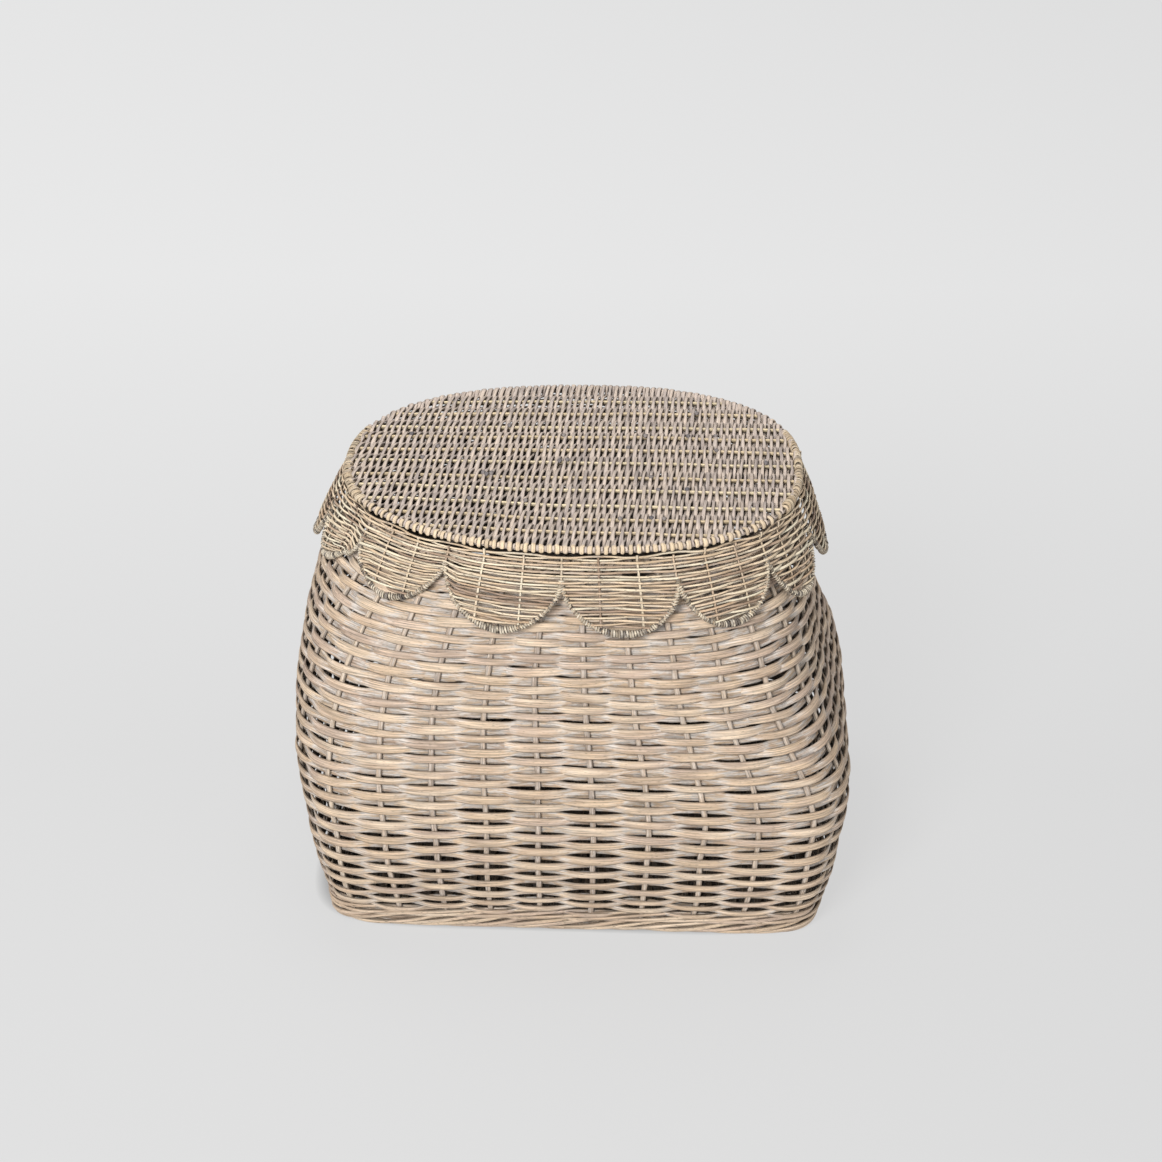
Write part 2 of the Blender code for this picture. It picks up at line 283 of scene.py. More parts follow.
class Strands:
    """Flattened tubes gathered into one mesh, each with its own tint and fibre direction."""

    def __init__(self, sides=8, squareness=2.4):
        angles = math.tau * (np.arange(sides) + 0.5) / sides
        self.sides = sides
        self.flat = np.sign(np.cos(angles)) * abs(np.cos(angles)) ** (2 / squareness)
        self.high = np.sign(np.sin(angles)) * abs(np.sin(angles)) ** (2 / squareness)
        self.points = []
        self.faces = []
        self.fibre = []
        self.values = {"tint": [], "wash": [], "rim": []}
        self.count = 0

    def add(self, path, outward, half_width, half_thickness, tint, wash=0.0, closed=False):
        """A strand along the path; its flat side faces outward."""
        n = len(path)
        if closed:
            tangent = unit(np.roll(path, -1, axis=0) - np.roll(path, 1, axis=0))
        else:
            tangent = unit(np.gradient(path, axis=0))
        across = unit(np.cross(tangent, np.broadcast_to(outward, path.shape)))
        up = np.cross(across, tangent)
        wide = np.broadcast_to(half_width, n)[:, None] * self.flat
        thick = np.broadcast_to(half_thickness, n)[:, None] * self.high
        ring = (path[:, None, :] + across[:, None, :] * wide[:, :, None]
                + up[:, None, :] * thick[:, :, None])
        along = lengths_along(path) + self.count * 0.37 % 11.0
        # the fibre's third value, across the thickness, marks the inner face that the material paints
        # in shade
        fibre = np.stack([np.broadcast_to(along[:, None], wide.shape), wide, thick], axis=-1)
        self.add_faces(n, closed)
        self.points.append(ring.reshape(-1, 3))
        self.fibre.append(fibre.reshape(-1, 3))
        self.values["tint"].append(np.repeat(np.broadcast_to(tint, n), self.sides))
        self.values["wash"].append(np.repeat(np.broadcast_to(wash, n), self.sides))
        # rim: how near a point lies to the strand's edge, where the material paints shade
        self.values["rim"].append(np.tile(abs(self.flat), n))
        self.count += 1

    def add_faces(self, n, closed):
        start = sum(len(block) for block in self.points)
        ring = np.arange(n if closed else n - 1)[:, None]
        here = ring * self.sides
        ahead = (ring + 1) % n * self.sides
        side = np.arange(self.sides)
        next_side = (side + 1) % self.sides
        corners = (here + side, ahead + side, ahead + next_side, here + next_side)
        self.faces.append(np.column_stack([corner.ravel() for corner in corners]) + start)
        if not closed:
            self.add_caps(start, start + (n - 1) * self.sides)

    def add_caps(self, first, last):
        k = np.arange(self.sides // 2 - 1)
        cap = np.column_stack([k, k + 1, self.sides - 2 - k, self.sides - 1 - k])
        self.faces.append(cap + first)
        self.faces.append(cap[:, ::-1] + last)

    def build(self, name, material, reshape=None):
        """One smooth mesh object with all the strands, its points reshaped last if asked."""
        points = np.concatenate(self.points)
        if reshape is not None:
            points = reshape(points)
        faces = np.concatenate(self.faces)
        mesh = bpy.data.meshes.new(name)
        mesh.from_pydata(points, [], faces)
        mesh.validate()
        fibre = mesh.attributes.new("fibre", "FLOAT_VECTOR", "POINT")
        fibre.data.foreach_set("vector", np.concatenate(self.fibre).ravel())
        for key, blocks in self.values.items():
            values = mesh.attributes.new(key, "FLOAT", "POINT")
            values.data.foreach_set("value", np.concatenate(blocks))
        mesh.shade_smooth()
        mesh.set_sharp_from_angle(angle=math.radians(70))
        mesh.materials.append(material)
        return add_object(name, mesh)


def finish(strands, name, material, body, slot, *nodes):
    """Builds a piece, ties it to its body and hides the CAD nodes that it stands for; its finish slot
    is not used.
    """
    piece = strands.build(name, material, warp_lid if body == "lid" else None)
    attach(piece, body)
    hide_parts(*nodes)


# -------- materials
def srgb(red, green, blue):
    """Linear colour of an 8-bit sRGB colour."""
    parts = [c / 255 for c in (red, green, blue)]
    linear = [c / 12.92 if c <= 0.04045 else ((c + 0.055) / 1.055) ** 2.4 for c in parts]
    return (*linear, 1.0)


BODY_TONES = ((206, 180, 158), (230, 202, 170), (214, 186, 158),
              (242, 218, 190), (222, 194, 166), (216, 190, 168), (234, 208, 178))
STAKE_TONES = ((196, 176, 158), (226, 204, 178), (212, 190, 168))
LID_TONES = ((192, 176, 166), (214, 196, 182), (224, 204, 186),
             (204, 187, 176), (228, 208, 188), (232, 206, 172), (246, 220, 184))
CUT_END_TONES = ((104, 100, 104), (150, 140, 134), (128, 120, 120))
ROD_TONES = ((232, 208, 168), (255, 236, 196), (246, 222, 182))
LASHING_TONES = ((196, 172, 140), (228, 202, 166), (178, 160, 136), (238, 216, 182))
SKIRT_TONES = ((216, 184, 150), (255, 236, 204), (234, 204, 168),
               (255, 244, 216), (252, 224, 190), (178, 150, 126))
EDGE_TONES = ((92, 80, 68), (255, 240, 212), (156, 138, 116), (252, 238, 214), (80, 70, 62))
LIMEWASH = srgb(232, 222, 212)
RECESS_BROWN = srgb(70, 56, 48)
FLOOR_GLOW_NEAR = 0.6
FLOOR_GLOW_FAR = 0.695


def add_node(tree, kind, values=(), **settings):
    """New shader node; the values are links or numbers for its inputs."""
    made = tree.nodes.new("ShaderNode" + kind)
    for name, value in settings.items():
        setattr(made, name, value)
    for name, value in dict(values).items():
        if isinstance(value, bpy.types.NodeSocket):
            tree.links.new(value, made.inputs[name])
        else:
            made.inputs[name].default_value = value
    return made


def add_mix(tree, blend, amount, first, second):
    mixed = add_node(tree, "Mix", {0: amount, 6: first, 7: second}, data_type="RGBA", blend_type=blend)
    return mixed.outputs[2]


def add_range(tree, value, low, high, to_low, to_high):
    made = add_node(tree, "MapRange", {"Value": value, "From Min": low, "From Max": high,
                                       "To Min": to_low, "To Max": to_high})
    return made.outputs["Result"]


def add_maths(tree, operation, first, second=0.0, clamp=False):
    made = add_node(tree, "Math", {0: first, 1: second}, operation=operation, use_clamp=clamp)
    return made.outputs[0]


def add_noise(tree, vector, detail, stretch):
    """Noise from 0 to 1, stretched along the axes of its vector."""
    scaled = add_node(tree, "Mapping", {"Vector": vector, "Scale": stretch})
    noise = add_node(tree, "TexNoise", {"Vector": scaled.outputs["Vector"], "Scale": 1.0,
                                        "Detail": detail})
    return noise.outputs["Fac"]


def tone_ramp(tree, value, tones):
    ramp = add_node(tree, "ValToRGB", {"Fac": value})
    stops = ramp.color_ramp.elements
    while len(stops) < len(tones):
        stops.new(0.5)
    for i, (stop, tone) in enumerate(zip(stops, tones)):
        stop.position = (i + 0.5) / len(tones)
        stop.color = srgb(*tone)
    return ramp.outputs["Color"]


def add_shade(tree, fibre, streaks, streak, edge_shade):
    """Brightness factor: streaky fibres, plus painted shade: darker edges where a strand meets its
    neighbours, and a much darker inner side so that the gaps look dark.
    """
    rim = add_node(tree, "Attribute", attribute_name="rim").outputs["Fac"]
    out = add_node(tree, "SeparateXYZ", {"Vector": fibre}).outputs["Z"]
    fibres = add_range(tree, streaks, 0.3, 0.7, 1 - streak, 1 + streak * 0.3)
    # painted shade: darker towards a strand's edges, where it meets its neighbours
    edges = add_range(tree, rim, 0.66, 1.0, 1.0, 1 - edge_shade)
    # painted shade: the inner face, turned into the basket or under the lid, is made much darker
    inner = add_range(tree, out, -0.0009, -0.0001, 0.22, 1.0)
    return add_maths(tree, "MULTIPLY", add_maths(tree, "MULTIPLY", fibres, edges), inner)


def new_material(name):
    """An empty material, its node tree and its main shader."""
    material = bpy.data.materials.new(name)
    material.use_nodes = True
    tree = material.node_tree
    return material, tree, tree.nodes["Principled BSDF"]


def willow_material(name, tones, wash_share=0.5, streak=0.42, grime_share=0.6,
                    drift=0.14, edge_shade=0.5):
    """Matt willow: fibre streaks along each strand, limewash in the hollows, dark flecks, and painted
    shade on the strands' edges and inner faces.
    """
    material, tree, shader = new_material(name)
    fibre = add_node(tree, "Attribute", attribute_name="fibre").outputs["Vector"]
    tint = add_node(tree, "Attribute", attribute_name="tint").outputs["Fac"]
    wash = add_node(tree, "Attribute", attribute_name="wash").outputs["Fac"]

    wander = add_range(tree, add_noise(tree, fibre, 2.0, (16.0, 60.0, 60.0)), 0.25, 0.75, -drift, drift)
    base = tone_ramp(tree, add_maths(tree, "ADD", tint, wander), tones)

    patches = add_noise(tree, fibre, 5.0, (110.0, 520.0, 520.0))
    wash_here = add_maths(tree, "MULTIPLY", add_range(tree, patches, 0.4, 0.6, 0.0, 1.0),
                          add_range(tree, wash, 0.0, 1.0, wash_share * 0.22, wash_share * 1.7),
                          clamp=True)
    washed = add_mix(tree, "MIX", wash_here, base, LIMEWASH)

    flecks = add_noise(tree, fibre, 4.0, (240.0, 1100.0, 1100.0))
    grime_here = add_range(tree, flecks, 0.58, 0.72, 0.0, grime_share)
    grimy = add_mix(tree, "MIX", grime_here, washed, RECESS_BROWN)

    streaks = add_noise(tree, fibre, 4.0, (38.0, 1500.0, 1500.0))
    shade = add_shade(tree, fibre, streaks, streak, edge_shade)
    grey = add_node(tree, "CombineColor", {"Red": shade, "Green": shade, "Blue": shade})
    finished = add_mix(tree, "MULTIPLY", 1.0, grimy, grey.outputs["Color"])

    bump_height = add_maths(tree, "ADD", streaks, add_range(tree, patches, 0, 1, 0, 0.6))
    bump = add_node(tree, "Bump", {"Height": bump_height, "Strength": 0.6, "Distance": 0.0006})
    tree.links.new(finished, shader.inputs["Base Color"])
    tree.links.new(add_range(tree, streaks, 0.2, 0.8, 0.5, 0.78), shader.inputs["Roughness"])
    tree.links.new(bump.outputs["Normal"], shader.inputs["Normal"])
    shader.inputs["Specular IOR Level"].default_value = 0.4
    return material


def add_foot_print(tree, x, y):
    """0 under the basket and 1 outside its foot: the mask that shuts the floor's painted glow off under
    the basket.
    """
    half_width = FOOT_HALF_WIDTH - 0.006
    half_depth = FOOT_HALF_WIDTH * DEPTH_TO_WIDTH - 0.006
    from_middle = add_maths(tree, "SUBTRACT", x, lookup(WALL_LEAN, 0.0))
    across = add_maths(tree, "POWER", add_maths(tree, "DIVIDE", from_middle, half_width), 6.0)
    deep = add_maths(tree, "POWER", add_maths(tree, "DIVIDE", y, half_depth), 6.0)
    return add_range(tree, add_maths(tree, "ADD", across, deep), 0.6, 1.3, 0.0, 1.0)


def floor_material():
    """Pale studio paper that glows instead of being lit, with hardly a shadow: painted light, a little
    brighter far away and to the left, and no glow under the basket's foot.
    """
    material, tree, shader = new_material("glowing_studio_paper")
    for name, value in (("Base Color", (0.12, 0.12, 0.12, 1.0)), ("Roughness", 0.9),
                        ("Specular IOR Level", 0.0), ("Emission Color", (1.0, 1.0, 1.0, 1.0))):
        shader.inputs[name].default_value = value
    position = add_node(tree, "NewGeometry").outputs["Position"]
    axes = add_node(tree, "SeparateXYZ", {"Vector": position})
    # painted light: the floor's own glow, graded by place and masked under the basket
    depth_glow = add_range(tree, axes.outputs["Y"], 0.1, 1.3, FLOOR_GLOW_NEAR, FLOOR_GLOW_FAR)
    side_glow = add_maths(tree, "MULTIPLY", axes.outputs["X"], -0.024)
    glow = add_maths(tree, "MULTIPLY", add_maths(tree, "ADD", depth_glow, side_glow),
                     add_foot_print(tree, axes.outputs["X"], axes.outputs["Y"]))
    tree.links.new(glow, shader.inputs["Emission Strength"])
    return material


# -------- wall
def row_layout(rng):
    """(height, half width) of every row of the wall, piled up along its curved profile."""
    heights = np.linspace(FOOT_TOP + 0.001, WALL_TOP - 0.0005, 800)
    widths = wall_half_width(heights)
    climb = lengths_along(np.column_stack([heights, widths]))
    rows = []
    reached = 0.0
    while True:
        height = np.interp(reached, climb, heights)
        pitch = lookup(ROW_PITCHES, height) * rng.uniform(0.84, 1.16)
        if reached + pitch > climb[-1]:
            return rows
        centre = np.interp(reached + pitch / 2, climb, heights)
        fullness = lookup(ROW_FULLNESS, height) * rng.uniform(0.94, 1.05)
        rows.append((centre, pitch * fullness / 2))
        reached += pitch


def weave_swing(phase):
    """From 1 where a weaver passes outside a stake to -1 where it passes behind one."""
    return (np.cos(phase) - 0.09 * np.cos(3 * phase)) / 0.91


def add_wall_row(strands, rng, row, height, half_width):
    """One row of the wall, in three weavers that overlap behind stakes."""
    half_thickness = WEAVER_THICKNESS / 2 * rng.uniform(0.9, 1.12)
    lengths = rng.permutation(WEAVER_LENGTHS).tolist()
    stake = (row + 1) % 2 + 2 * int(rng.integers(0, STAKE_COUNT // 2))
    wobble_seed = int(rng.integers(0, 2 ** 31))
    for length in lengths:
        steps = length * 10 + 8
        places = np.linspace(stake - WEAVER_OVERLAP, stake + length + WEAVER_OVERLAP, steps)
        fractions = (places + 0.5) / STAKE_COUNT
        wobble_rng = np.random.default_rng(wobble_seed)      # the same for the whole row
        heights = (height + closed_noise(wobble_rng, STAKE_COUNT, fractions, 0.0009)
                   + closed_noise(wobble_rng, 7, fractions, 0.0012))
        turns = wall_turns(fractions, height)
        outward = wall_outward(turns, heights)
        swing = weave_swing(math.pi * (places + row))
        tucked = 1 - smooth((places - places[0]) / 0.9)
        reach = STAKE_RADIUS * STAKE_FLATNESS + half_thickness
        offset = reach * swing - tucked * 2.1 * half_thickness
        path = wall_points(turns, heights) + outward * offset[:, None]
        at_back = smooth(-np.cos(math.tau * fractions))
        at_side = smooth(1.7 * abs(np.sin(math.tau * fractions)) - 0.7)
        recess = lookup(RECESS_FULLNESS, height) * (1 - 0.75 * at_side) + 0.35 * at_back
        width = half_width * (1 + closed_noise(rng, 24, fractions, 0.08) + 0.08 * at_back
                              + 0.1 * smooth(swing) + recess * smooth(-swing))
        strands.add(path, outward, width, half_thickness, rng.random(),
                    wash=smooth(0.72 - 0.78 * swing))
        stake += length


def make_wall_weave(material):
    rng = np.random.default_rng(11)
    rows = row_layout(rng)
    for band, members in enumerate(split(len(rows), WALL_BANDS), 1):
        strands = Strands(sides=10, squareness=2.9)
        for row in members:
            add_wall_row(strands, rng, row, *rows[row])
        finish(strands, f"wall_weave_{band:02d}", material, "basket", "body_willow", "side_weave")


def make_wall_stakes(material):
    """Upright rods in four groups, from inside the foot's upper band to under the mouth hoop."""
    rng = np.random.default_rng(12)
    heights = np.linspace(0.015, WALL_TOP - 0.001, 70)
    fractions = (np.arange(STAKE_COUNT) + 0.5) / STAKE_COUNT
    turns = np.array([wall_turns(fractions, h) for h in heights])
    for group, members in enumerate(split(STAKE_COUNT, 4), 1):
        strands = Strands(sides=10)
        for i in members:
            sway = open_noise(rng, 9, heights / WALL_TOP, 0.0006)
            path = wall_points(turns[:, i] + sway, heights)
            outward = wall_outward(turns[:, i], heights)
            radius = STAKE_RADIUS * rng.uniform(0.92, 1.06)
            strands.add(path, outward, radius, radius * STAKE_FLATNESS, rng.random(), wash=0.45)
        finish(strands, f"wall_stakes_{group}", material, "basket", "stake_willow",
               *[f"wall_stake_{i + 1:02d}" for i in members])


# -------- foot and base
def add_wale(strands, rng, rods, height, reach_out, reach_up, inset, radius, twists=7):
    """Rods twisted together like a flat rope, all the way round the foot."""
    steps = 900
    fractions = np.arange(steps) / steps
    turns = wall_turns(fractions, height)
    outward = wall_outward(turns, np.full(steps, height))
    for rod in range(rods):
        phase = math.tau * (fractions * twists + rod / rods)
        wander = closed_noise(rng, 20, fractions, 0.35)
        up = reach_up * np.sin(phase + wander) + closed_noise(rng, 30, fractions, 0.0004)
        out = reach_out * np.cos(phase + wander)
        path = wall_points(turns, height, inset) + outward * out[:, None]
        path[:, 2] = height + up
        size = radius * rng.uniform(0.9, 1.1)
        strands.add(path, outward, size * 1.1, size * 0.85, rng.random(),
                    wash=smooth(0.5 - 0.6 * np.cos(phase)), closed=True)


def make_foot(material):
    """Two bands of waling: the rolled foot and the twist above it."""
    rng = np.random.default_rng(13)
    foot = Strands()
    add_wale(foot, rng, 7, height=0.0084, reach_out=0.0046, reach_up=0.006, inset=0.0052,
             radius=0.002)
    add_wale(foot, rng, 5, height=0.0064, reach_out=0.0035, reach_up=0.0038, inset=0.0105,
             radius=0.002)
    finish(foot, "foot_wale", material, "basket", "body_willow", "foot_border")
    upper = Strands()
    add_wale(upper, rng, 5, height=0.018, reach_out=0.0036, reach_up=0.0036, inset=0.004,
             radius=0.0018)
    finish(upper, "foot_upper_wale", material, "basket", "body_willow", "foot_border")


def inside_span(at_front, at_back, half_width, half_depth, power, steps=600):
    """Part of a straight line across an oval that lies inside it, as start and end points."""
    share = np.linspace(0, 1, steps)[:, None]
    points = np.asarray(at_front) * (1 - share) + np.asarray(at_back) * share
    inside = (abs(points[:, 0] / half_width) ** power
              + abs(points[:, 1] / half_depth) ** power) < 1
    if inside.sum() < 20:
        return None
    found = points[inside]
    return found[0], found[-1]


def make_base(material, stick_material):
    """Base woven closely over five stiff sticks, inside the foot."""
    rng = np.random.default_rng(14)
    rod_ys = middle_ys(BASE_STICKS)
    spacing = rod_ys[1] - rod_ys[0]
    half_width = FOOT_HALF_WIDTH - 0.013
    half_depth = FOOT_HALF_WIDTH * DEPTH_TO_WIDTH - 0.012
    strands = Strands(squareness=2.8)
    for i in range(BASE_WEAVER_COUNT):
        x = half_width * (2 * (i + 0.5) / BASE_WEAVER_COUNT - 1)
        ends = inside_span((x, -half_depth), (x, half_depth), half_width, half_depth, FOOT_SQUARENESS)
        if ends is None:
            continue
        y = np.linspace(ends[0][1], ends[1][1], 70)
        swing = weave_swing(math.pi * ((y - rod_ys[0]) / spacing + i))
        path = xyz(x + wall_shift(x / half_width, BASE_HEIGHT), y,
                   BASE_HEIGHT + BASE_WEAVER_SWING * swing)
        strands.add(path, DOWN, BASE_WEAVER_RADIUS * rng.uniform(0.93, 1.05), 0.0011,
                    rng.random(), wash=smooth(0.5 - 0.62 * swing))
    finish(strands, "base_weave", material, "basket", "body_willow", "base_panel")
    sticks = Strands(sides=10)
    for y in rod_ys:
        x = np.linspace(-half_width * 0.97, half_width * 0.97, 60)
        path = xyz(x + wall_shift(x / half_width, BASE_HEIGHT), y, BASE_HEIGHT)
        sticks.add(path, DOWN, BASE_STICK_HALF_WIDTH, BASE_STICK_HALF_THICKNESS,
                   rng.random(), wash=0.5)
    finish(sticks, "base_sticks", stick_material, "basket", "stake_willow", *BASE_STICKS)


# -------- hoops
def oval_points(oval, fractions):
    """Points and outward directions on an oval: its half width, half depth and height."""
    half_width, half_depth, height = oval
    turns = turns_at(fractions, half_width, half_depth, MOUTH_SQUARENESS)
    step = 0.0006
    flat, ahead, behind = (superellipse(half_width, half_depth, MOUTH_SQUARENESS, turns + shift)
                           for shift in (0.0, step, -step))
    tangent = unit(ahead - behind)
    return xyz(*flat.T, height), xyz(tangent[:, 1], -tangent[:, 0], 0.0)


def add_hoop_core(strands, rng, oval, radius):
    """Three thin rods laid together as one hoop."""
    fractions = np.arange(480) / 480
    centre, outward = oval_points(oval, fractions)
    for rod in range(3):
        angle = math.tau * rod / 3 + 0.5
        path = centre + outward * (math.cos(angle) * radius) + (0, 0, math.sin(angle) * radius)
        strands.add(path, outward, radius * 0.95, radius * 0.95, rng.random(), 0.7, closed=True)


def add_lashing(strands, rng, middles, oval, radius, width):
    """Strips of split willow wound round a hoop, one slanting loop at each of the middles."""
    angles = np.linspace(0, math.tau, 18, endpoint=False)
    length = math.tau * math.sqrt((oval[0] ** 2 + oval[1] ** 2) / 2)
    for middle in middles:
        slant = rng.normal(0.0018, 0.0009)
        fractions = middle + slant * np.sin(angles) / length
        centre, outward = oval_points(oval, fractions)
        reach = radius * rng.uniform(0.96, 1.05)
        spoke = outward * np.cos(angles)[:, None] + UP * np.sin(angles)[:, None]
        strands.add(centre + spoke * reach, spoke, width / 2 * rng.uniform(0.8, 1.15),
                    LASHING_THICKNESS / 2, rng.random(), wash=rng.uniform(0, 0.6), closed=True)


def make_mouth_hoop(core_material, lashing_material):
    rng = np.random.default_rng(15)
    low, high = MOUTH_HOOP
    radius = (high.z - low.z) / 2
    oval = (high.x - radius, high.y - radius, (low.z + high.z) / 2)
    core = Strands()
    add_hoop_core(core, rng, oval, 0.0021)
    finish(core, "mouth_hoop_rods", core_material, "basket", "body_willow", "mouth_hoop")
    lashing = Strands(squareness=2.8)
    uneven = rng.uniform(-0.16, 0.16, MOUTH_LASHINGS)
    middles = (np.arange(MOUTH_LASHINGS) + uneven) / MOUTH_LASHINGS
    add_lashing(lashing, rng, middles, oval, radius - LASHING_THICKNESS / 2 - 0.0003, 0.0062)
    finish(lashing, "mouth_hoop_lashing", lashing_material, "basket", "body_willow", "mouth_hoop")


# -------- lid
def warp_lid(points):
    """The lid as made by hand: less full at its front left, raised at its back right."""
    x = points[:, 0] / LID_RING
    y = points[:, 1] / LID_RING_DEPTH
    corner = smooth(1 - np.hypot(x + 0.86, y + 0.74))
    raised = smooth(0.5 + 0.5 * y) * smooth(0.7 + 0.6 * x)
    return points + np.column_stack([0.003 * corner, 0.01 * corner, 0.0055 * raised])


def lid_rod_ys():
    """Where the rods lie from front to back, a little uneven as laid by hand."""
    rng = np.random.default_rng(22)
    return middle_ys(LID_RODS) + rng.uniform(-0.0032, 0.0032, len(LID_RODS))


def ring_normal(point):
    """Outward direction of the lid's hoop at a point of it, seen from above."""
    scaled = np.asarray(point) / (LID_RING, LID_RING_DEPTH)
    slope = np.sign(scaled) * abs(scaled) ** (MOUTH_SQUARENESS - 1)
    return unit(slope / (LID_RING, LID_RING_DEPTH))


def bent_end(point, radius, last_angle):
    """Path over the hoop from its top down its outer face, and the directions outward."""
    angles = np.radians(np.linspace(90.0, last_angle, 9))[1:, None]
    normal = np.append(ring_normal(point), 0.0)
    spokes = normal * np.cos(angles) + UP * np.sin(angles)
    return np.append(point, BEND_HEIGHT) + spokes * radius, spokes


def lid_swing(ys, rod_ys, parity):
    """Swing of a weaver of the lid, 1 over one rod and -1 under the next."""
    stations = np.concatenate([[2 * rod_ys[0] - rod_ys[1]], rod_ys, [2 * rod_ys[-1] - rod_ys[-2]]])
    passed = np.interp(ys, stations, np.arange(len(stations)))
    return weave_swing(math.pi * (passed + parity))


def add_lid_weaver(strands, rng, start, end, rod_ys, parity):
    """A weaver over and under the rods; its ends bend down over the hoop.

    Each of its rows holds a point, the direction outward, the half width and the tint.
    """
    over = parity % 2 == 0
    length = np.linalg.norm(end - start)
    gone = np.linspace(0, length, max(int(length / LID_WEAVER_STEP), 10))
    flat = start + unit(end - start) * gone[:, None]
    swing = lid_swing(flat[:, 1], rod_ys, parity)
    flat[:, 0] += open_noise(rng, 14, gone / length, 0.0009)
    radius = BEND_RADIUS - (0.0 if over else BEND_SINK) + rng.uniform(-0.0004, 0.0004)
    at_rim = 1 - smooth(np.minimum(gone, length - gone) / LID_RIM_CLIMB)
    weave_z = LID_WEAVE_HEIGHT + (LID_ROD_RADIUS + LID_WEAVER_THICKNESS / 2) * swing
    z = weave_z * (1 - at_rim) + (BEND_HEIGHT + radius) * at_rim
    uneven = 1 + open_noise(rng, 22, gone / length, 0.16)
    half_width = ((0.002 - 0.00044 * swing ** 2) * rng.uniform(0.78, 1.08) * uneven
                  * (1 - at_rim) + (0.0021 if over else 0.0015) * at_rim)
    tone = rng.uniform(0.14, 0.44) + open_noise(rng, 17, gone / length, 0.2)
    creams = (rng.uniform(0.76, 1.0) if over else rng.uniform(0.3, 0.8), rng.uniform(0.1, 0.7))
    tint = (tone + (creams[0] - tone) * smooth(1.4 - gone / LID_CREAM_LENGTH)
            + (creams[1] - tone) * smooth(1.4 - (length - gone) / LID_CREAM_LENGTH))
    rows = np.column_stack([flat, z, np.tile(UP, (len(gone), 1)), half_width, tint])
    last_angle = (-32.0 if over else 2.0) + rng.uniform(-16.0, 12.0)
    for point, cream in ((start, creams[0]), (end, creams[1])):
        if abs(ring_normal(point) @ unit(end - start)) < 0.38:
            continue
        bend, spokes = bent_end(point, radius, last_angle)
        widths = np.full(len(bend), 0.0022 if over else 0.0015) * rng.uniform(0.8, 1.12)
        widths[-1] *= 0.7
        bend = np.column_stack([bend, spokes, widths, np.full(len(bend), cream)])
        rows = np.vstack([bend[::-1], rows] if point is start else [rows, bend])
    along = np.linspace(0, 1, len(rows))
    wash = 0.22 - 0.1 * np.interp(along, np.linspace(0, 1, len(swing)), swing)
    strands.add(rows[:, :3], rows[:, 3:6], rows[:, 6], LID_WEAVER_THICKNESS / 2, rows[:, 7], wash)


def add_cut_end(strands, rng, x, y):
    """Rounded stub of a weaver that ends on top of the lid."""
    along = np.linspace(-1.0, 1.0, 9)
    size = rng.uniform(0.0024, 0.0036)
    path = xyz(x, y + along * size, LID_WEAVE_HEIGHT + 0.003 + 0.0007 * (1 - along ** 2))
    roundness = np.sqrt(1.04 - along ** 2)
    strands.add(path, UP, 0.0021 * roundness, 0.0011 * roundness, rng.random(), wash=0.1)


def make_lid_weave(material):
    """Fine weavers from the front of the lid to its back, fanned out towards the front."""
    rng = np.random.default_rng(16)
    rod_ys = lid_rod_ys()
    lean = LID_SHEAR * LID_RING_DEPTH
    for group, members in enumerate(split(LID_WEAVER_COUNT, 4), 1):
        strands = Strands(squareness=2.6)
        for i in members:
            x = LID_RING * 1.12 * (2 * (i + 0.5) / LID_WEAVER_COUNT - 1)
            front = (x * (1 + LID_FAN) - lean, -LID_RING_DEPTH)
            back = (x * (1 - LID_FAN) + lean, LID_RING_DEPTH)
            ends = inside_span(front, back, LID_RING, LID_RING_DEPTH, MOUTH_SQUARENESS)
            if ends is not None:
                add_lid_weaver(strands, rng, *ends, rod_ys, i)
        finish(strands, f"lid_weave_{group}", material, "lid", "lid_willow", "lid_panel")


def make_cut_ends(material):
    """Grey stubs where weavers of the lid end, scattered over it."""
    rng = np.random.default_rng(23)
    rod_ys = lid_rod_ys()
    strands = Strands()
    for _ in range(CUT_END_COUNT):
        x = LID_RING * rng.uniform(-0.9, 0.9)
        y = rod_ys[int(rng.integers(1, len(rod_ys) - 1))] + rng.uniform(-0.002, 0.002)
        if (x / LID_RING) ** 2 + (y / LID_RING_DEPTH) ** 2 < 0.85:
            add_cut_end(strands, rng, x, y)
    finish(strands, "lid_cut_ends", material, "lid", "lid_willow", "lid_panel")


def make_lid_rods(material):
    """Straw-coloured rods that the lid is woven over, one for each rod of the frame."""
    rng = np.random.default_rng(17)
    strands = Strands()
    for y in lid_rod_ys():
        reach = LID_RING * (1 - abs(y / LID_RING_DEPTH) ** MOUTH_SQUARENESS) ** (1 / MOUTH_SQUARENESS)
        x = np.linspace(-reach, reach, 120)
        bend = open_noise(rng, 12, np.linspace(0, 1, 120), 0.0014)
        radius = LID_ROD_RADIUS * rng.uniform(0.92, 1.08)
        strands.add(xyz(x, y + bend, LID_WEAVE_HEIGHT + 0.0004), UP, radius, radius,
                    rng.random(), wash=0.1)
    finish(strands, "lid_rods", material, "lid", "lid_rod_willow", *LID_RODS)


